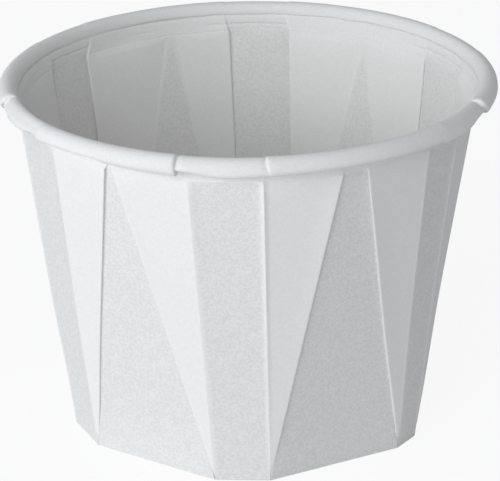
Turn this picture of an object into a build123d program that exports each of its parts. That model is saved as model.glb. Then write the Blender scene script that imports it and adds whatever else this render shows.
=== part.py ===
"""Pleated paper souffle cup, folded and curled from one round blank of thin white paper.

The floor is a flat twelve-sided face with long and short sides in turn. A narrow panel rises from
each short side and a wide panel from each long side. The spare paper at each floor corner is laid
flat in a knife pleat, three plies thick, that starts at the corner and widens to the rim. Outside,
the folded edge of a pleat laps over the wide panel. Inside, it laps over the narrow panel. Panels
and pleats are flat up to a round shoulder. Above it, the wall is curled outwards into a tight oval
bead, whose turns are pressed together. The pleats run on through it, so the bead is thinner over
each narrow panel.

Millimetres. +Z is up. The origin is the centre of the floor's underside, and a narrow panel faces -Y.
"""

import os
from math import acos, asin, atan2, cos, degrees, hypot, radians, sin

from build123d import *

# Driving dimensions
rim_diameter = 43.2  # over the curled rim
cup_height = 31.2  # from the table to the top of the rim
floor_diameter = 32.7  # across the corners of the floor
ply = 0.1  # thickness of the paper
narrow_panel_floor = 4.7  # short side of the floor
narrow_panel_top = 6.2  # width of a narrow panel at the top of the wall
wide_panel_top = 0.9  # width of a wide panel at the top of the wall
shoulder_height = 0.7  # of the sloped ring that takes the flat panels out to the round neck
shoulder_width = 0.45  # that ring's reach outwards, in plan
curl_width = 1.64  # of the curled rim over a pleat, in plan
curl_height = 1.76  # of the curled rim over a pleat
curl_turn = 340  # degrees that the curl's outline runs, from the neck round and back into it
neck_height = 1.4  # from the top of the wall to the middle of the curl
neck_lean = 0.1  # from the top of the wall to the curl's inmost point, in plan
panel_pairs = 6  # narrow panels, and as many wide ones
cut_past = 1.0  # how far a cutting shape runs on past the paper

# Worked out from the driving dimensions
pleat_plies = 3
lapped_plies = pleat_plies - 1  # plies of a pleat that the panels beside it lack
curl_centre = Vector(rim_diameter / 2 - curl_width / 2, cup_height - curl_height / 2)
wall_top_radius = curl_centre.X - curl_width / 2 - neck_lean
wall_top_height = curl_centre.Y - neck_height
floor_radius = floor_diameter / 2
pair_angle = 360 / panel_pairs
narrow_middle = -90  # direction of the first narrow panel, in degrees from +X
wide_middle = narrow_middle + pair_angle / 2


def half_chord_angle(width, radius):
    """Half of the angle that a straight width spans at a radius."""
    return degrees(asin(width / 2 / radius))


narrow_half_floor = half_chord_angle(narrow_panel_floor, floor_radius)
narrow_half_top = half_chord_angle(narrow_panel_top, wall_top_radius)
wide_half_floor = pair_angle / 2 - narrow_half_floor
wide_half_top = half_chord_angle(wide_panel_top, wall_top_radius)


def polar(radius, angle, height=0):
    """A point from its radius, its angle in degrees and its height."""
    return Vector(radius * cos(radians(angle)), radius * sin(radians(angle)), height)


def panel_corners(middle, half_floor, half_top, foot_height, depth):
    """The four corners of a panel, on a face of the wall at a depth in from its outside."""
    foot, top = floor_radius - depth, wall_top_radius - depth
    return [
        polar(foot, middle - half_floor, foot_height),
        polar(foot, middle + half_floor, foot_height),
        polar(top, middle + half_top, wall_top_height),
        polar(top, middle - half_top, wall_top_height),
    ]


def wall_body(foot_height, depth, mode=Mode.ADD):
    """All that lies within a face of the wall, at a depth in from its outside."""
    corners = []
    for pair in range(panel_pairs):
        turned = pair * pair_angle
        corners += panel_corners(
            narrow_middle + turned, narrow_half_floor, narrow_half_top, foot_height, depth
        )
        corners += panel_corners(wide_middle + turned, wide_half_floor, wide_half_top, foot_height, depth)
    ConvexPolyhedron(corners, mode=mode)
    top = wall_top_radius - depth
    shoulder_foot = wall_top_height - shoulder_height
    with BuildSketch(rim_plane(narrow_middle)) as shoulder:
        with BuildLine():
            Polyline(
                (0, shoulder_foot),
                (top - shoulder_width, shoulder_foot),
                (top, wall_top_height),
                (0, wall_top_height),
                close=True,
            )
        make_face()
    revolve(shoulder.sketch, axis=Axis.Z, mode=mode)


def panel_prism(middle, half_floor, half_top, mode=Mode.ADD):
    """The space of one panel, square to it in plan, from inside the wall to outside it."""
    corners = panel_corners(middle, half_floor, half_top, foot_height=0, depth=0)
    outwards = polar(cut_past, middle)
    inwards = polar(-pleat_plies * ply - cut_past, middle)
    ConvexPolyhedron([corner + way for corner in corners for way in (inwards, outwards)], mode=mode)


def neck_foot(plies):
    """Where the neck starts in the half-section of the rim, some plies in from the outside."""
    return Vector(wall_top_radius - plies * ply, wall_top_height)


def curl_radii(plies):
    """Half the width and height of the curl, where its paper is some plies thick."""
    missing = (pleat_plies - plies) * ply
    return curl_width / 2 - missing, curl_height / 2 - missing


def neck_turn(plies):
    """Where round the curl the straight neck runs on to it, as an angle of its ellipse in degrees."""
    half_width, half_height = curl_radii(plies)
    reach = neck_foot(plies) - curl_centre
    level = reach.Y * half_width / half_height
    return degrees(atan2(level, reach.X) - acos(half_width / hypot(reach.X, level)))


def neck_head(plies):
    """The point where the straight neck runs on to the curl, some plies in from the outside."""
    half_width, half_height = curl_radii(plies)
    turn = radians(neck_turn(plies))
    return curl_centre + Vector(half_width * cos(turn), half_height * sin(turn))


def rim_plane(direction):
    """The upright plane of a direction, with the cup's axis as its own upright axis."""
    return Plane((0, 0, 0), x_dir=polar(1, direction), z_dir=polar(1, direction - 90))


def rim_section(plies, direction):
    """Half-section of the neck and curl, where their paper is some plies thick."""
    with BuildSketch(rim_plane(direction)) as profile:
        with BuildLine():
            curl = EllipticalCenterArc(
                curl_centre, *curl_radii(plies), start_angle=neck_turn(plies), arc_size=-curl_turn
            )
            Line(curl @ 1, curl @ 0)
        make_face()
        with BuildLine():
            Polyline(neck_foot(0), neck_foot(plies), neck_head(plies), neck_head(0), close=True)
        make_face()
    return profile.sketch


def neck_recess_section(plies, direction):
    """Half-section of the space that some plies leave on the outside of the neck, under the curl."""
    foot, head = neck_foot(plies), neck_head(plies)
    curl_underside = cup_height - curl_height
    top = foot + (head - foot) * ((curl_underside - foot.Y) / (head.Y - foot.Y))
    past = Vector(cut_past, 0)
    with BuildSketch(rim_plane(direction)) as profile:
        with BuildLine():
            Polyline(foot, top, top + past, foot + past, close=True)
        make_face()
    return profile.sketch


# Plies that the wall lacks on the inside of a narrow panel
with BuildPart() as narrow_recess:
    wall_body(ply, ply)
    panel_prism(narrow_middle, narrow_half_floor, narrow_half_top, mode=Mode.INTERSECT)

# Plies that the wall and the neck lack on the outside of a wide panel
with BuildPart() as wide_recess:
    panel_prism(wide_middle, wide_half_floor, wide_half_top)
    wall_body(0, lapped_plies * ply, mode=Mode.SUBTRACT)
with BuildPart() as neck_recess:
    recess_start = neck_recess_section(lapped_plies, wide_middle - wide_half_top)
    revolve(recess_start, axis=Axis.Z, revolution_arc=2 * wide_half_top)

# Neck and curl: one ply over each narrow panel, three over the rest
with BuildPart() as narrow_rim:
    narrow_start = rim_section(1, narrow_middle - narrow_half_top)
    revolve(narrow_start, axis=Axis.Z, revolution_arc=2 * narrow_half_top)
with BuildPart() as pleat_rim:
    pleat_start = rim_section(pleat_plies, narrow_middle + narrow_half_top)
    revolve(pleat_start, axis=Axis.Z, revolution_arc=pair_angle - 2 * narrow_half_top)

# A wall three plies thick all round a floor of one ply, less the recesses, and the rim
with BuildPart() as cup:
    wall_body(0, 0)
    wall_body(ply, pleat_plies * ply, mode=Mode.SUBTRACT)
    with PolarLocations(0, panel_pairs):
        add(narrow_recess.part, mode=Mode.SUBTRACT)
        add(wide_recess.part, mode=Mode.SUBTRACT)
        add(narrow_rim.part)
        add(pleat_rim.part)
        add(neck_recess.part, mode=Mode.SUBTRACT)

cup.part.label = "souffle_cup"

os.makedirs("parts", exist_ok=True)
export_step(cup.part, "parts/souffle_cup.step")
print("souffle_cup", "solids", len(cup.solids()), "volume", round(cup.part.volume, 1))
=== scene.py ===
"""Looks of the pleated paper souffle cup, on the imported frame.

Metres, +Z up. Angles go round from -Y, where a narrow panel is, towards +X. The whole cup is one
sheet of paper, so it is one piece: a closed skin that runs from the middle of the floor's underside
up the outside, over the bead, and down the inside to the middle of the floor's top. Geometry Nodes
fold it from a flat grid, whose columns go round the cup and whose rows follow that section.
"""

from math import cos, pi, radians, sin, tau

import bpy
from mathutils import Euler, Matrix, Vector


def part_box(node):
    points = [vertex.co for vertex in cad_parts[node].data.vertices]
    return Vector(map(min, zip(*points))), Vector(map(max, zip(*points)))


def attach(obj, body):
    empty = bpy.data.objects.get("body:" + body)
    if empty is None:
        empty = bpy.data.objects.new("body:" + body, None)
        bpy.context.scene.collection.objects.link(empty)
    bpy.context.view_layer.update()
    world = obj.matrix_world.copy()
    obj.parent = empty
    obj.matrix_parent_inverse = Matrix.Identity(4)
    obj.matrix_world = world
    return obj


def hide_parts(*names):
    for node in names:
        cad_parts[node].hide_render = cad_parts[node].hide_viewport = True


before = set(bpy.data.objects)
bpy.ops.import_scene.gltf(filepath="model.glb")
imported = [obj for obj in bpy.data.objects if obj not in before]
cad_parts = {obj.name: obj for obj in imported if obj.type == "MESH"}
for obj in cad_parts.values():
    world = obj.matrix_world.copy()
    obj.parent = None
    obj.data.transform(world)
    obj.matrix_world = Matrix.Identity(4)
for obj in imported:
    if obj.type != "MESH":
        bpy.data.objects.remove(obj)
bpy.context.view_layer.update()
MM = 0.001

# Camera, with its angles in degrees
LENS_MM = 190.3
SENSOR_MM = 36
CAMERA_DISTANCE = 235.1 * MM
CAMERA_AZIMUTH = 5.7
CAMERA_ELEVATION = 22.44
CAMERA_ROLL = -0.82
LOOK_HEIGHT = 15.47 * MM

# Light
LAMP_COLOUR = (0.925, 0.962, 1.0)
LAMP_SIZE = 300 * MM
LAMP_DISTANCE = 600 * MM
STUDIO_LEVEL = 0.38
FLOOR_HALF = 1.5
FLOOR_COLOUR = (0.92, 0.92, 0.92, 1)
FLOOR_ROUGHNESS = 0.9
SEEN_FLOOR_WHITE = 0.9  # share of plain white in the floor that the camera sees, which softens its shadow

# Paper
PAPER_TINT = (1.0, 0.985, 0.96)
PAPER_BRIGHTNESS = 0.88
PAPER_ROUGHNESS = 0.9
PAPER_SHINE = 0.25
SINGLE_PLY_DIMMING = 0.08
SPECKLE_SCALE = 4500
SPECKLE_CONTRAST = (0.3, 0.7)
SPECKLE = 0.036
SINGLE_PLY_SPECKLE = 0.06  # over and above the speckle of backed paper
CLOUD_SCALE = 900
SINGLE_PLY_CLOUD = 0.04
GRAIN_SCALE = 3500
GRAIN_STRENGTH = 0.35
GRAIN_DEPTH = 0.02 * MM

# Sizes of the cup, which are the named inputs of its tree
BEAD_OUTREACH = 0.82 * MM  # from the bead's middle circle out to the side of the CAD box
BEAD_TOP = 0.88 * MM  # from that circle up to the top of the CAD box
high_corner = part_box("souffle_cup")[1]
SIZES = {
    "Floor radius": 16.47 * MM,
    "Shoulder radius": 19.86 * MM,
    "Shoulder height": 28.92 * MM,
    "Ledge height": 28.55 * MM,
    "Inner ledge height": 28.2 * MM,
    "Bead circle radius": high_corner.x - BEAD_OUTREACH,
    "Bead height": high_corner.z - BEAD_TOP,
    "Bead half width": 0.84 * MM,
    "Bead half height": 0.9 * MM,
    "Bead end rounding": 0.25 * MM,
    "Bead end dip": 0.14 * MM,
    "Narrow pinch reach": 3 * MM,
    "Ply": 0.1 * MM,
    "Floor bend": 0.1 * MM,
    "Fold rounding": 0.17 * MM,
    "Fold lift": 0.12 * MM,
    "Fold lift width": 2.2 * MM,
    "Tucked under": 0.1 * MM,
    "Telegraphing": 0.07 * MM,
    "Crease depth": 0.28 * MM,
    "Crease wander": 0.2 * MM,
    "Panel waviness": 0.05 * MM,
    "Side lean": 0.2 * MM,
}

# Folds go round from the first narrow panel: its start and end, then the wide panel's start and end.
# A bay lies between two folds and has the number of the first: narrow, pleat, wide and pleat in turn.
PANEL_PAIRS = 6
FOLDS_PER_PAIR = 4
FOLDS = PANEL_PAIRS * FOLDS_PER_PAIR
NARROW_PLACE, RISING_PLACE, WIDE_PLACE = 0, 1, 2  # of a bay in its pair
PLEAT_PLIES = 3
LAPPED_PLIES = PLEAT_PLIES - 1
NARROW_HALF_FLOOR = 8.26  # degrees
NARROW_HALF_TOP = 9.0
WIDE_HALF_TOP = 1.3

# How the real cup departs from its regular shape, by the fold's number.
# Degrees from each fold's regular place at the floor, at the shoulder and on the bead
FLOOR_SHIFTS = {0: 2.5, 1: 2.5, 2: 2.5, 3: 4, 4: 4, 5: -3, 6: -3, 21: 1.5, 22: 1.5, 23: 2.5}
SHOULDER_SHIFTS = {
    3: 3.5, 4: 4, 5: 1, 9: 0.5, 10: 2.5, 11: 1, 12: 3, 13: 1.5, 14: -2.5, 15: -3, 16: 3,
    20: -2, 21: 2.5, 22: 1,
}
BEAD_SHIFTS = {
    0: -1.5, 1: 0.5, 3: 3.5, 4: 4.5, 5: 4.7, 9: 2, 10: 2.5, 11: 1, 12: 4, 13: 2.5, 14: -2.5, 15: -3,
    16: 1, 20: -1.7, 21: 1.8, 22: 1,
}
# Degrees under the bead, over and above the shift on it
BEAD_FOOT_SHIFTS = {1: 1.3, 5: 4.8, 20: -4.3, 21: -0.6}
# Millimetres that the bead steps down from a pleat to the narrow panel
BEAD_STEPS = {0: 0.25, 1: 0.22, 4: 0.05, 5: 0.38, 20: 0.4, 21: 0.52}
OTHER_STEP = 0.05
# Millimetres that the sheet stands out along the bend between a narrow panel and a pleat
BEND_RIDGES = {1: 0.13}
OTHER_RIDGE = 0.02
# Millimetres that the groove under the bead goes in, which leaves a ledge below it
LEDGES = {0: 0.25, 1: 0.2, 2: 0.18, 3: 0.18, 4: 0.15, 5: 0.15, 20: 0.1, 21: 0.1, 22: 0.28, 23: 0.28}
OTHER_LEDGE = 0.04
# Millimetres that the bead's underside is pressed up, over pleats and wide panels, and at narrow ends
BEAD_PINCHES = {1: 0.1, 2: 0.25, 3: 0.3, 4: 0.15, 6: 0.2, 7: 0.2, 21: 0.1, 22: 0.45, 23: 0.15}
NARROW_PINCHES = {0: 0.42, 1: 0.12, 5: 0.7, 20: 0.4, 21: 0.75}
# Share of the crease depth that the crease under the bead has, inside the cup
CREASES = {9: 1.2, 10: 1.3, 11: 1.3, 12: 0.7, 13: 0.7, 16: 0.1, 17: 0.4}
FOLD_VALUES = (
    "floor_angle",
    "shoulder_angle",
    "bead_angle",
    "bead_foot_angle",
    "bend_ridge",
    "bead_step",
    "bead_pinch",
    "narrow_pinch",
    "ledge",
    "crease",
)

# Rows of the skin's grid, from the middle of the floor's underside to the middle of its top
ROWS = {
    "floor_underside": 5,
    "outer_bend": 4,
    "outer_wall": 22,
    "outer_neck": 22,
    "bead": 36,
    "inner_neck": 36,
    "inner_wall": 22,
    "inner_bend": 4,
    "floor_top": 5,
}
COLUMNS_PER_BAY = 22
COLUMN_CROWDING = 0.94  # how strongly the columns crowd towards the folds, from 0 to 1
LEAST_WIDTH = 0.001 * MM  # of a bay, so that nothing is divided by zero where a pleat starts
MERGE_WITHIN = 0.0002 * MM  # closes the skin where columns meet

# Wall, as shares of its height or as reaches from a fold
FLOOR_EDGE = 0.06  # share over which plies start to tuck under and to back each other
LAP_RISE = 0.15  # share over which the step from a wide panel out to a pleat grows
MOST_TUCKED = 0.3  # share of a panel's width
INSIDE_LIFT = 0.5  # share of the fold lift that the inside has
TELEGRAPH_REACH = 0.9 * MM  # from a narrow panel's folds to where its face lies deepest
RIDGE_REACH = 0.3 * MM
WAVE_STRETCH = 0.6  # makes the waves of the panels longer up than across
BACKING_REACH = 0.5 * MM  # from a bend to where its panel is a single ply
INSIDE_PAINTED_LIGHT = 0.25  # share of full brightness painted over the whole inside: painted light that stands in for light let through its single plies
WEDGE_TOP_HEIGHTS = (27.0 * MM, 28.7 * MM)  # over which a wide panel's inside comes to be backed
ROUNDING_HEIGHTS = (28.0 * MM, 29.0 * MM)  # over which the flat panels turn round
LEAN_SHARES = (0.1, 0.5)  # of the way up, over which the sides come to lean
LEAN_END_HEIGHTS = (28.3 * MM, 29.5 * MM)
FLOOR_LEAN = 0.4  # share of the lean that the floor has, the other way
FLOOR_LEAN_SHARE = 0.4  # of the way up, by which the floor's lean has faded
FLOOR_MIDDLE = 5 * MM  # radius in which the floor doesn't lean, so that its middle closes

# Bead, with its angles in degrees round its section from outwards, up positive
BEAD_START = -135  # where the paper comes out from under it
BEAD_END = 186  # where it runs into the neck on the inside
BEAD_END_WANDER = 0.22  # radians
STEP_FACES = 45  # the way that a step takes most off the bead
PINCH_ANGLES = (-60, -5)  # up to the first the pinch is whole, and past the second there is none
STEP_DROP = 0.85  # share of a step that lies on the pleat's rounded end
DIP_REACH = 0.35 * MM
DIP_STEPS = (0.1 * MM, 0.2 * MM)  # below the first step there is no dip, and above the second a whole one
BEAD_BUMPS = 0.03 * MM
FOOT_SHIFT_SHARES = (0.4, 1)  # of the outer neck, over which the folds go to their places under the bead
TOP_SHIFT_SHARES = (0.15, 0.55)  # of the bead, over which they go on to their places on it

# Neck: share of the way up its outside, and how far in to the groove's depth and up to the bead
GROOVE_ENDS = 0.6
LEDGE_INWARDS = ((0, 0), (0.1, 0.08), (0.45, 0.95), (GROOVE_ENDS, 1), (1, 1))
LEDGE_UPWARDS = ((0, 0), (0.1, 0.03), (0.45, 0.2), (GROOVE_ENDS, 0.42), (1, 1))
PAINTED_LEDGE_HIGHLIGHT_RISE = 0.1  # share of the way up the outer neck over which the paper comes to full brightness: a painted highlight on the ledge, with the real plies of the rolled bead above it
INNER_RIDGE = 1.2  # plies that the inside of the neck keeps clear of the groove
# Share of the way down its inside, and how deep each crease is
UPPER_CREASE = ((0, 0), (0.02, 0.8), (0.05, 1), (0.1, 0.12), (0.17, 0), (1, 0))
MIDDLE_CREASE = ((0, 0), (0.36, 0), (0.45, 1), (0.55, 0), (1, 0))
LOWER_CREASE_PLACE = 0.73
LOWER_CREASE = ((0, 0), (0.69, 0), (LOWER_CREASE_PLACE, 1), (0.77, 0), (1, 0))
MIDDLE_CREASE_SHARE = 0.35  # of the crease depth
LOWER_CREASE_SHARE = 0.3


class Field:
    """A value of a node tree, which adds, subtracts, multiplies and divides as a number does."""

    def __init__(self, tree, socket):
        self.tree = tree
        self.socket = socket

    def __add__(self, other):
        return calc(self.tree, "ADD", self, other)

    def __radd__(self, other):
        return calc(self.tree, "ADD", other, self)

    def __sub__(self, other):
        return calc(self.tree, "SUBTRACT", self, other)

    def __rsub__(self, other):
        return calc(self.tree, "SUBTRACT", other, self)

    def __mul__(self, other):
        return calc(self.tree, "MULTIPLY", self, other)

    def __rmul__(self, other):
        return calc(self.tree, "MULTIPLY", other, self)

    def __truediv__(self, other):
        return calc(self.tree, "DIVIDE", self, other)


def connect(tree, value, socket):
    """Gives a socket its value, which is a field or a number."""
    if isinstance(value, Field):
        tree.links.new(value.socket, socket)
    else:
        socket.default_value = value


def calc(tree, operation, *values):
    node = tree.nodes.new("ShaderNodeMath")
    node.operation = operation
    for value, socket in zip(values, node.inputs):
        connect(tree, value, socket)
    return Field(tree, node.outputs[0])


def smallest(a, b):
    return calc(a.tree, "MINIMUM", a, b)


def largest(a, b):
    return calc(a.tree, "MAXIMUM", a, b)


def equals(a, number):
    return calc(a.tree, "COMPARE", a, number, 0.1)


def sine(angle):
    return calc(angle.tree, "SINE", angle)


def cosine(angle):
    return calc(angle.tree, "COSINE", angle)


def between(start, end, share):
    """The value a share of the way from start to end."""
    return start + (end - start) * share


def choose(condition, if_true, if_false):
    return if_false + (if_true - if_false) * condition


def ease(value, low, high):
    """0 below low, 1 above high, with a smooth rise between them."""
    node = value.tree.nodes.new("ShaderNodeMapRange")
    node.interpolation_type = "SMOOTHSTEP"
    connect(value.tree, value, node.inputs["Value"])
    connect(value.tree, low, node.inputs["From Min"])
    connect(value.tree, high, node.inputs["From Max"])
    return Field(value.tree, node.outputs["Result"])


def clamp(value, low=0.0, high=1.0):
    return largest(smallest(value, high), low)


def drop_off(distance, radius):
    """1 at an edge and 0 a radius away from it, on a quarter circle."""
    nearness = 1 - clamp(distance / radius)
    return 1 - calc(distance.tree, "SQRT", 1 - nearness * nearness)


def shaped(value, points):
    """A value from 0 to 1 put through a line of given points."""
    node = value.tree.nodes.new("ShaderNodeFloatCurve")
    curve = node.mapping.curves[0]
    for point, place in zip(curve.points, (points[0], points[-1])):
        point.location = place
    for place in points[1:-1]:
        curve.points.new(*place)
    for point in curve.points:
        point.handle_type = "VECTOR"
    node.mapping.update()
    connect(value.tree, value, node.inputs["Value"])
    return Field(value.tree, node.outputs["Value"])


def joined(tree, x, y, z):
    """The socket of a vector made of three values."""
    node = tree.nodes.new("ShaderNodeCombineXYZ")
    for value, socket in zip((x, y, z), node.inputs):
        connect(tree, value, socket)
    return node.outputs[0]


def noise(tree, place, scale, seed):
    """Smooth noise between about -1 and 1."""
    node = tree.nodes.new("ShaderNodeTexNoise")
    node.noise_dimensions = "4D"
    tree.links.new(joined(tree, *place), node.inputs["Vector"])
    node.inputs["W"].default_value = seed
    node.inputs["Scale"].default_value = scale
    node.inputs["Detail"].default_value = 1
    return (Field(tree, node.outputs[0]) - 0.5) * 2


def new_tree():
    """The cup's tree, with a named input for each size, and those inputs as fields."""
    tree = bpy.data.node_groups.new("fold_cup", "GeometryNodeTree")
    tree.interface.new_socket("Folds", in_out="INPUT", socket_type="NodeSocketGeometry")
    for name in SIZES:
        socket = tree.interface.new_socket(name, in_out="INPUT", socket_type="NodeSocketFloat")
        socket.subtype = "DISTANCE"
    tree.interface.new_socket("Paper", in_out="INPUT", socket_type="NodeSocketMaterial")
    tree.interface.new_socket("Cup", in_out="OUTPUT", socket_type="NodeSocketGeometry")
    entry = tree.nodes.new("NodeGroupInput")
    return tree, entry, {name: Field(tree, entry.outputs[name]) for name in SIZES}


def grid_places(tree):
    """A flat grid, and the column and row of each of its points."""
    columns, rows = FOLDS * COLUMNS_PER_BAY, sum(ROWS.values())
    grid = tree.nodes.new("GeometryNodeMeshGrid")
    grid.inputs["Size X"].default_value = columns
    grid.inputs["Size Y"].default_value = rows
    grid.inputs["Vertices X"].default_value = columns + 1
    grid.inputs["Vertices Y"].default_value = rows + 1
    position = tree.nodes.new("GeometryNodeInputPosition")
    split = tree.nodes.new("ShaderNodeSeparateXYZ")
    tree.links.new(position.outputs[0], split.inputs[0])
    column = calc(tree, "ROUND", Field(tree, split.outputs[0]) + columns / 2)
    row = calc(tree, "ROUND", Field(tree, split.outputs[1]) + rows / 2)
    return grid.outputs["Mesh"], column, row


def fold_value(tree, entry, attribute, fold):
    """A value of a fold, from the points that the tree is given."""
    named = tree.nodes.new("GeometryNodeInputNamedAttribute")
    named.data_type = "FLOAT"
    named.inputs["Name"].default_value = attribute
    sample = tree.nodes.new("GeometryNodeSampleIndex")
    sample.data_type = "FLOAT"
    tree.links.new(entry.outputs["Folds"], sample.inputs["Geometry"])
    tree.links.new(named.outputs["Attribute"], sample.inputs["Value"])
    connect(tree, fold, sample.inputs["Index"])
    return Field(tree, sample.outputs["Value"])


class Section:
    """Where a row of the grid is in the cup's section: its way along each part, and its side."""

    def __init__(self, row):
        self.row = row
        self.along = {}
        start = 0
        for part, rows in ROWS.items():
            self.along[part] = clamp((row - start) / rows)
            start += rows
        outside_rows = ROWS["floor_underside"] + ROWS["outer_bend"] + ROWS["outer_wall"]
        inside_rows = ROWS["floor_top"] + ROWS["inner_bend"] + ROWS["inner_wall"]
        self.outside = calc(row.tree, "LESS_THAN", row, outside_rows + 0.5)
        self.inside = calc(row.tree, "GREATER_THAN", row, start - inside_rows - 0.5)
        self.up_wall = self.along["outer_wall"] - self.along["inner_wall"]
        self.above_floor = ease(self.up_wall, 0, FLOOR_EDGE)
        self.leaving_bead = ease(self.along["inner_neck"], 0, 1)

    def pick(self, places):
        """The inset and height of the part that the row is in."""
        inset, height = places["floor_underside"]
        start = 0
        for part, rows in ROWS.items():
            passed = calc(self.row.tree, "GREATER_THAN", self.row, start + 0.5)
            inset = choose(passed, places[part][0], inset)
            height = choose(passed, places[part][1], height)
            start += rows
        return inset, height


class Bay:
    """The bay between two folds that a column of the grid is in, and where in it the point is."""

    def __init__(self, tree, entry, column, size, section):
        number = calc(tree, "FLOOR", column / COLUMNS_PER_BAY)
        place_in_pair = calc(tree, "MODULO", number, FOLDS_PER_PAIR)
        self.narrow = equals(place_in_pair, NARROW_PLACE)
        self.rising = equals(place_in_pair, RISING_PLACE)
        self.wide = equals(place_in_pair, WIDE_PLACE)
        self.pleat = 1 - self.narrow - self.wide
        self.starts = {name: fold_value(tree, entry, name, number) for name in FOLD_VALUES}
        self.ends = {name: fold_value(tree, entry, name, number + 1) for name in FOLD_VALUES}
        even = (column - number * COLUMNS_PER_BAY) / (COLUMNS_PER_BAY - 1)
        across = even - sine(even * tau) * (COLUMN_CROWDING / tau)
        width = self.width_at(size, section.up_wall)
        self.from_start = across * width
        self.from_end = (1 - across) * width
        self.from_ends = smallest(self.from_start, self.from_end)
        pleat_to_wide = choose(self.rising, self.from_end, self.from_start)
        pleat_to_narrow = choose(self.rising, self.from_start, self.from_end)
        self.to_wide = choose(self.pleat, pleat_to_wide, self.from_ends)
        self.to_narrow = choose(self.pleat, pleat_to_narrow, self.from_ends)
        self.across = self.tucked(across, width, size, section)

    def width_at(self, size, up_wall):
        """The bay's width, a share of the way up the wall."""
        floor_width = size["Floor radius"] * (self.ends["floor_angle"] - self.starts["floor_angle"])
        top_width = size["Shoulder radius"] * (self.ends["shoulder_angle"] - self.starts["shoulder_angle"])
        return between(floor_width, top_width, up_wall) + LEAST_WIDTH

    def tucked(self, across, width, size, section):
        """The share across, with a panel's own ply started under the folded edges that lap over it."""
        lapped = (self.wide * section.outside + self.narrow * section.inside) * section.above_floor
        share = clamp(size["Tucked under"] / width, 0, MOST_TUCKED) * lapped
        return across * (1 + share * 2) - share

    def value(self, name):
        """A value of the folds, at the point's place between them."""
        return between(self.starts[name], self.ends[name], self.across)

    def value_at_narrow(self, name):
        """The same, but over a pleat the value of the fold beside the narrow panel."""
        over_pleat = choose(self.rising, self.starts[name], self.ends[name])
        return choose(self.narrow, self.value(name), over_pleat)


def wall_depths(bay, size, section):
    """How far in each side of the wall and the groove under the bead lie from the outermost ply."""
    ply = size["Ply"]
    up = section.up_wall
    lift = size["Fold lift"] * up
    lift_outside = 1 - clamp(bay.to_wide / size["Fold lift width"])
    lift_inside = 1 - clamp(bay.to_narrow / size["Fold lift width"])
    telegraph = size["Telegraphing"] * bay.narrow * up * up * ease(bay.from_ends, 0, TELEGRAPH_REACH)
    near_bend = 1 - ease(bay.to_narrow, 0, RIDGE_REACH)
    ridge = bay.value_at_narrow("bend_ridge") * (1 - bay.wide) * up * near_bend
    outer_rounding = ply * drop_off(bay.to_wide, size["Fold rounding"])
    inner_rounding = ply * drop_off(bay.to_narrow, size["Fold rounding"])
    outer_edge = outer_rounding - lift * lift_outside * lift_outside
    inner_edge = inner_rounding - lift * lift_inside * lift_inside * INSIDE_LIFT
    lapped = bay.wide * ply * LAPPED_PLIES * ease(up, 0, LAP_RISE)
    plies = bay.narrow * ply + (1 - bay.narrow) * ply * PLEAT_PLIES
    return {
        "outer": telegraph - ridge + lapped + bay.pleat * outer_edge,
        "inner": telegraph + plies - bay.pleat * inner_edge,
        "groove": bay.value("ledge") + bay.wide * ply,
    }


def angle_round(bay, section):
    """The angle round the cup, with the folds' own shifts under the bead and on it."""
    to_foot = ease(section.along["outer_neck"], *FOOT_SHIFT_SHARES) - section.leaving_bead
    to_top = ease(section.along["bead"], *TOP_SHIFT_SHARES) - section.leaving_bead
    shoulder, foot, top = (bay.value(name) for name in ("shoulder_angle", "bead_foot_angle", "bead_angle"))
    return shoulder + (foot - shoulder) * to_foot + (top - foot) * to_top


def bead_changes(bay, size, way):
    """What the bead lacks of its full oval, and how far its end wanders."""
    step = bay.value_at_narrow("bead_step")
    end_drop = drop_off(bay.to_narrow, size["Bead end rounding"]) * STEP_DROP
    near_end = 1 - ease(bay.from_ends, 0, DIP_REACH)
    dip = size["Bead end dip"] * bay.narrow * near_end * ease(step, *DIP_STEPS)
    reach = size["Narrow pinch reach"]
    start_pinch = (1 - ease(bay.from_start, 0, reach)) * bay.starts["narrow_pinch"]
    end_pinch = (1 - ease(bay.from_end, 0, reach)) * bay.ends["narrow_pinch"]
    bumps = BEAD_BUMPS * noise(step.tree, way, scale=3.0, seed=11)
    return {
        "step": step * choose(bay.pleat, end_drop, bay.narrow) + dip + bumps,
        "pinch": choose(bay.narrow, start_pinch + end_pinch, bay.value("bead_pinch")),
        "end_wander": noise(step.tree, way, scale=5.0, seed=3) * BEAD_END_WANDER,
    }


def crease_depths(bay, size, way):
    """How deep the three creases inside the neck are, and how far they wander up and down."""
    depth = size["Crease depth"]
    here_and_there = ease(noise(depth.tree, way, scale=3.0, seed=21), 0.0, 0.3)
    return {
        "upper": depth * bay.value("crease"),
        "middle": depth * MIDDLE_CREASE_SHARE * choose(bay.narrow, 1.0, here_and_there),
        "lower": depth * LOWER_CREASE_SHARE * (1 - bay.narrow),
        "wander": size["Crease wander"] * noise(depth.tree, way, scale=6.0, seed=5),
    }


def floor_bend_place(size, share):
    """How far in and up a share of the quarter-circle bend at the floor's edge goes."""
    bend = size["Floor bend"]
    turn = share * (pi / 2)
    return bend * (1 - sine(turn)), bend * (1 - cosine(turn))


def bead_place(size, bead, turn):
    """How far in and up the bead's skin is, at an angle round its section."""
    outwards = clamp(cosine(turn - radians(STEP_FACES)))
    under = 1 - ease(turn, *(radians(angle) for angle in PINCH_ANGLES))
    missing = bead["step"] * outwards + bead["pinch"] * under
    half_width = size["Bead half width"] - missing
    half_height = size["Bead half height"] - missing
    radius = size["Bead circle radius"] + half_width * cosine(turn)
    return size["Shoulder radius"] - radius, size["Bead height"] + half_height * sine(turn)


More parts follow.
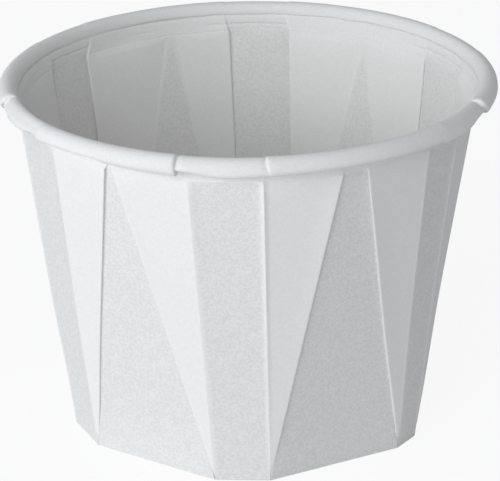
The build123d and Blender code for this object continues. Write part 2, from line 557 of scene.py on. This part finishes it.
def outer_places(size, along, depth, bead):
    """How far in and up the skin is, on each part from the middle of the underside to the bead."""
    bend = size["Floor bend"]
    level = along["floor_underside"] * 0
    bend_inset, bend_rise = floor_bend_place(size, along["outer_bend"])
    neck = along["outer_neck"]
    bead_inset, bead_height = bead_place(size, bead, level + radians(BEAD_START))
    groove_inset = between(depth["outer"], depth["groove"], shaped(neck, LEDGE_INWARDS))
    return {
        "floor_underside": (between(size["Floor radius"], bend, along["floor_underside"]), level),
        "outer_bend": (bend_inset + depth["outer"] * along["outer_bend"], bend_rise),
        "outer_wall": (depth["outer"], between(bend, size["Ledge height"], along["outer_wall"])),
        "outer_neck": (
            between(groove_inset, bead_inset, ease(neck, GROOVE_ENDS, 1)),
            between(size["Ledge height"], bead_height, shaped(neck, LEDGE_UPWARDS)),
        ),
    }


def inner_places(size, along, depth, bead, crease):
    """How far in and up the skin is, on each part from the bead to the middle of the floor's top."""
    ply, bend = size["Ply"], size["Floor bend"]
    bead_start, bead_end = radians(BEAD_START), radians(BEAD_END) + bead["end_wander"]
    neck = along["inner_neck"]
    bead_inset, bead_height = bead_place(size, bead, bead_end)
    ridge = largest(depth["inner"], depth["groove"] + ply * INNER_RIDGE)
    to_ridge = between(bead_inset, ridge, clamp(neck / LOWER_CREASE_PLACE))
    neck_inset = between(to_ridge, depth["inner"], ease(neck, LOWER_CREASE_PLACE, 1))
    dents = (
        shaped(neck, UPPER_CREASE) * crease["upper"]
        + shaped(neck, MIDDLE_CREASE) * crease["middle"]
        + shaped(neck, LOWER_CREASE) * crease["lower"]
    )
    wave = crease["wander"] * sine(neck * pi)
    top = size["Inner ledge height"]
    bend_inset, bend_rise = floor_bend_place(size, 1 - along["inner_bend"])
    return {
        "bead": bead_place(size, bead, bead_start + along["bead"] * (bead_end - bead_start)),
        "inner_neck": (neck_inset - dents, between(bead_height, top, neck) + wave),
        "inner_wall": (depth["inner"], between(top, ply + bend, along["inner_wall"])),
        "inner_bend": (depth["inner"] + bend_inset, ply + bend_rise),
        "floor_top": (between(depth["inner"] + bend, size["Floor radius"], along["floor_top"]), ply),
    }


def folded_place(bay, size, section, inset, height, angle):
    """The skin's x and y: flat from the floor's corners to the shoulder, and round above it."""
    up = clamp((height - size["Ply"] * section.along["inner_neck"]) / size["Shoulder height"])
    roundness = ease(height, *ROUNDING_HEIGHTS)
    floor_reach = (1 - up) * (size["Floor radius"] - inset)
    top_reach = up * (size["Shoulder radius"] - inset)

    def reach(turned):
        flat = between(turned(bay.starts["shoulder_angle"]), turned(bay.ends["shoulder_angle"]), bay.across)
        floor = between(turned(bay.starts["floor_angle"]), turned(bay.ends["floor_angle"]), bay.across)
        return floor_reach * floor + top_reach * between(flat, turned(angle), roundness)

    x, y = reach(sine), 0 - reach(cosine)
    waves = noise(height.tree, (x, y, height * WAVE_STRETCH), scale=160, seed=7)
    bump = size["Panel waviness"] * up * waves
    sideways = x * x / (x * x + y * y)
    off_middle = ease(size["Floor radius"] - inset, 0, FLOOR_MIDDLE)
    wall_lean = ease(up, *LEAN_SHARES) - ease(height, *LEAN_END_HEIGHTS)
    floor_lean = FLOOR_LEAN * (1 - ease(up, 0, FLOOR_LEAN_SHARE))
    lean = size["Side lean"] * off_middle * sideways * (wall_lean - floor_lean)
    return x + bump * sine(angle) - lean, y - bump * cosine(angle)


def ply_backing_and_painted_light(bay, section, height):
    """How much further plies back the skin: it fades across a bend and ends at a folded edge. It also
    carries painted light: a painted highlight on the ledge under the bead, and painted light over the whole
    inside.
    """
    own_ply = bay.narrow * section.outside + bay.wide * section.inside
    bend_side = own_ply * (1 - ease(bay.from_ends, 0, BACKING_REACH))
    wedge_top = section.leaving_bead * bay.wide * ease(height, *WEDGE_TOP_HEIGHTS)
    # Painted highlight on the ledge under the bead, which gets full paper brightness there; above it the
    # rolled bead really has further plies
    ledge_highlight_and_bead_plies = ease(section.along["outer_neck"], 0, PAINTED_LEDGE_HIGHLIGHT_RISE) - section.leaving_bead
    panels = (bay.pleat + bend_side) * section.above_floor
    # The whole inside gets painted light, a share of full brightness that stands in for light let through
    # its single plies
    return clamp(panels + wedge_top + ledge_highlight_and_bead_plies + section.inside * INSIDE_PAINTED_LIGHT)


def finish_tree(tree, entry, grid, position, plies_and_painted_light):
    """Moves the grid's points to their places and closes, smooths and covers the skin."""
    # The share of backing plies, with the painted highlight on the ledge and the painted light inside, for
    # the paper's colour
    plies = tree.nodes.new("GeometryNodeStoreNamedAttribute")
    plies.data_type = "FLOAT"
    plies.inputs["Name"].default_value = "plies_and_painted_light"
    tree.links.new(grid, plies.inputs["Geometry"])
    connect(tree, plies_and_painted_light, plies.inputs["Value"])
    fold = tree.nodes.new("GeometryNodeSetPosition")
    tree.links.new(position, fold.inputs["Position"])
    merge = tree.nodes.new("GeometryNodeMergeByDistance")
    merge.inputs["Distance"].default_value = MERGE_WITHIN
    smooth = tree.nodes.new("GeometryNodeSetShadeSmooth")
    realize = tree.nodes.new("GeometryNodeRealizeInstances")
    cover = tree.nodes.new("GeometryNodeSetMaterial")
    tree.links.new(entry.outputs["Paper"], cover.inputs["Material"])
    leave = tree.nodes.new("NodeGroupOutput")
    chain = (plies, fold, merge, smooth, realize, cover, leave)
    for before, after in zip(chain, chain[1:]):
        tree.links.new(before.outputs[0], after.inputs[0])


def cup_tree():
    """Folds a flat grid into the skin of the cup, by the folds' values and the named sizes."""
    tree, entry, size = new_tree()
    grid, column, row = grid_places(tree)
    section = Section(row)
    bay = Bay(tree, entry, column, size, section)
    angle = angle_round(bay, section)
    way = (sine(angle), 0 - cosine(angle), 0.0)
    depth = wall_depths(bay, size, section)
    bead = bead_changes(bay, size, way)
    crease = crease_depths(bay, size, way)
    places = outer_places(size, section.along, depth, bead)
    places.update(inner_places(size, section.along, depth, bead, crease))
    inset, height = section.pick(places)
    x, y = folded_place(bay, size, section, inset, height, angle)
    finish_tree(tree, entry, grid, joined(tree, x, y, height), ply_backing_and_painted_light(bay, section, height))
    return tree


def regular_folds():
    """The angle of each fold of a regular cup at its floor and at its top, in degrees."""
    pair_angle = 360 / PANEL_PAIRS
    folds = []
    for pair in range(PANEL_PAIRS):
        middle = pair * pair_angle
        wide_middle = middle + pair_angle / 2
        folds += [
            (middle - NARROW_HALF_FLOOR, middle - NARROW_HALF_TOP),
            (middle + NARROW_HALF_FLOOR, middle + NARROW_HALF_TOP),
            (middle + NARROW_HALF_FLOOR, wide_middle - WIDE_HALF_TOP),
            (middle + pair_angle - NARROW_HALF_FLOOR, wide_middle + WIDE_HALF_TOP),
        ]
    return folds


def fold_points():
    """A point for each fold with its values, and two more that bring the first folds round again."""
    regular = regular_folds()
    values = {name: [] for name in FOLD_VALUES}
    for fold in range(FOLDS + 2):
        number = fold % FOLDS
        floor, top = (360 * (fold // FOLDS) + angle for angle in regular[number])
        bead = top + BEAD_SHIFTS.get(number, 0)
        values["floor_angle"].append(radians(floor + FLOOR_SHIFTS.get(number, 0)))
        values["shoulder_angle"].append(radians(top + SHOULDER_SHIFTS.get(number, 0)))
        values["bead_angle"].append(radians(bead))
        values["bead_foot_angle"].append(radians(bead + BEAD_FOOT_SHIFTS.get(number, 0)))
        values["bend_ridge"].append(BEND_RIDGES.get(number, OTHER_RIDGE) * MM)
        values["bead_step"].append(BEAD_STEPS.get(number, OTHER_STEP) * MM)
        values["bead_pinch"].append(BEAD_PINCHES.get(number, 0) * MM)
        values["narrow_pinch"].append(NARROW_PINCHES.get(number, 0) * MM)
        values["ledge"].append(LEDGES.get(number, OTHER_LEDGE) * MM)
        values["crease"].append(CREASES.get(number, 1))
    mesh = bpy.data.meshes.new("folds")
    mesh.from_pydata([(0, 0, 0)] * (FOLDS + 2), [], [])
    for name in FOLD_VALUES:
        mesh.attributes.new(name, "FLOAT", "POINT").data.foreach_set("value", values[name])
    return mesh


def add_object(name, data):
    item = bpy.data.objects.new(name, data)
    bpy.context.scene.collection.objects.link(item)
    return item


def make_cup(paper):
    """Sets the tree's sizes, folds the cup and keeps the result as a plain mesh."""
    tree = cup_tree()
    folds = add_object("folds", fold_points())
    modifier = folds.modifiers.new("fold_cup", "NODES")
    modifier.node_group = tree
    sockets = {item.name: item.identifier for item in tree.interface.items_tree if item.in_out == "INPUT"}
    for name, value in SIZES.items():
        modifier[sockets[name]] = value
    modifier[sockets["Paper"]] = paper
    evaluated = folds.evaluated_get(bpy.context.evaluated_depsgraph_get())
    mesh = bpy.data.meshes.new_from_object(evaluated)
    bpy.data.objects.remove(folds)
    mesh.name = "folded_cup"
    cup = add_object("folded_cup", mesh)
    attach(cup, "root")
    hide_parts("souffle_cup")


def direction(azimuth, elevation):
    """The way from the cup to a camera or lamp, from angles in radians."""
    return Vector((sin(azimuth) * cos(elevation), -cos(azimuth) * cos(elevation), sin(elevation)))


def make_camera():
    azimuth, elevation = radians(CAMERA_AZIMUTH), radians(CAMERA_ELEVATION)
    data = bpy.data.cameras.new("camera")
    data.lens = LENS_MM
    data.sensor_width = SENSOR_MM
    camera = add_object("camera", data)
    camera.location = Vector((0, 0, LOOK_HEIGHT)) + direction(azimuth, elevation) * CAMERA_DISTANCE
    facing = Euler((radians(90) - elevation, 0, azimuth)).to_matrix()
    camera.rotation_euler = (facing @ Euler((0, 0, radians(CAMERA_ROLL))).to_matrix()).to_euler()
    bpy.context.scene.camera = camera


def paper_material():
    """Thin uncoated white paper: greyer and more mottled where a single ply lets light through. Painted
    light takes some of that grey off: a painted highlight on the ledge under the bead, and painted light
    over the whole inside.
    """
    material = bpy.data.materials.new("souffle_paper")
    material.use_nodes = True
    tree = material.node_tree
    shader = tree.nodes["Principled BSDF"]
    shader.inputs["Roughness"].default_value = PAPER_ROUGHNESS
    shader.inputs["Specular IOR Level"].default_value = PAPER_SHINE
    coordinates = tree.nodes.new("ShaderNodeTexCoord")

    def paper_noise(scale, detail, roughness=0.5):
        node = tree.nodes.new("ShaderNodeTexNoise")
        tree.links.new(coordinates.outputs["Object"], node.inputs["Vector"])
        node.inputs["Scale"].default_value = scale
        node.inputs["Detail"].default_value = detail
        node.inputs["Roughness"].default_value = roughness
        return Field(tree, node.outputs[0])

    plies_and_painted_light = tree.nodes.new("ShaderNodeAttribute")
    plies_and_painted_light.attribute_name = "plies_and_painted_light"
    # single is the share of single-ply grey, less the painted highlight on the ledge and the painted light
    # inside
    single = 1 - Field(tree, plies_and_painted_light.outputs["Fac"])
    speckle = ease(paper_noise(SPECKLE_SCALE, detail=2), *SPECKLE_CONTRAST) - 0.5
    cloud = paper_noise(CLOUD_SCALE, detail=2) - 0.5
    speckled = speckle * (SPECKLE + single * SINGLE_PLY_SPECKLE)
    clouded = cloud * single * SINGLE_PLY_CLOUD
    brightness = PAPER_BRIGHTNESS - single * SINGLE_PLY_DIMMING + speckled + clouded
    colour = tree.nodes.new("ShaderNodeCombineColor")
    for share, socket in zip(PAPER_TINT, colour.inputs):
        connect(tree, brightness * share, socket)
    tree.links.new(colour.outputs[0], shader.inputs["Base Color"])
    grain = tree.nodes.new("ShaderNodeBump")
    grain.inputs["Strength"].default_value = GRAIN_STRENGTH
    grain.inputs["Distance"].default_value = GRAIN_DEPTH
    connect(tree, paper_noise(GRAIN_SCALE, detail=4, roughness=0.6), grain.inputs["Height"])
    tree.links.new(grain.outputs[0], shader.inputs["Normal"])
    return material


def make_floor():
    """A plain white floor that shows the cup's shadow softly."""
    half = FLOOR_HALF
    mesh = bpy.data.meshes.new("floor")
    corners = [(-half, -half, 0), (half, -half, 0), (half, half, 0), (-half, half, 0)]
    mesh.from_pydata(corners, [], [(0, 1, 2, 3)])
    floor = add_object("floor", mesh)
    material = bpy.data.materials.new("floor_white")
    material.use_nodes = True
    tree = material.node_tree
    shader = tree.nodes["Principled BSDF"]
    shader.inputs["Base Color"].default_value = FLOOR_COLOUR
    shader.inputs["Roughness"].default_value = FLOOR_ROUGHNESS
    white = tree.nodes.new("ShaderNodeEmission")
    seen = tree.nodes.new("ShaderNodeLightPath")
    mixer = tree.nodes.new("ShaderNodeMixShader")
    connect(tree, Field(tree, seen.outputs["Is Camera Ray"]) * SEEN_FLOOR_WHITE, mixer.inputs[0])
    tree.links.new(shader.outputs[0], mixer.inputs[1])
    tree.links.new(white.outputs[0], mixer.inputs[2])
    tree.links.new(mixer.outputs[0], tree.nodes["Material Output"].inputs["Surface"])
    mesh.materials.append(material)


def make_lamp(name, azimuth, elevation, watts):
    """A soft lamp aimed at the cup, from a direction in degrees."""
    data = bpy.data.lights.new(name, "AREA")
    data.energy = watts
    data.size = LAMP_SIZE
    data.color = LAMP_COLOUR
    lamp = add_object(name, data)
    outwards = direction(radians(azimuth), radians(elevation))
    lamp.location = Vector((0, 0, LOOK_HEIGHT)) + outwards * LAMP_DISTANCE
    lamp.rotation_euler = outwards.to_track_quat("Z", "Y").to_euler()


def make_world():
    """An even studio, dimmer than the white that the camera sees behind the cup."""
    world = bpy.data.worlds.new("studio")
    world.use_nodes = True
    tree = world.node_tree
    studio = tree.nodes["Background"]
    studio.inputs["Color"].default_value = (*LAMP_COLOUR, 1)
    studio.inputs["Strength"].default_value = STUDIO_LEVEL
    white = tree.nodes.new("ShaderNodeBackground")
    white.inputs["Color"].default_value = (1, 1, 1, 1)
    seen = tree.nodes.new("ShaderNodeLightPath")
    mixer = tree.nodes.new("ShaderNodeMixShader")
    tree.links.new(seen.outputs["Is Camera Ray"], mixer.inputs[0])
    tree.links.new(studio.outputs[0], mixer.inputs[1])
    tree.links.new(white.outputs[0], mixer.inputs[2])
    tree.links.new(mixer.outputs[0], tree.nodes["World Output"].inputs["Surface"])
    bpy.context.scene.world = world


make_camera()
make_floor()
make_world()
make_lamp("window_lamp", azimuth=-51, elevation=15, watts=1.22)
make_lamp("front_lamp", azimuth=-14, elevation=26, watts=1.02)
make_cup(paper_material())
bpy.context.scene.view_settings.view_transform = "Standard"
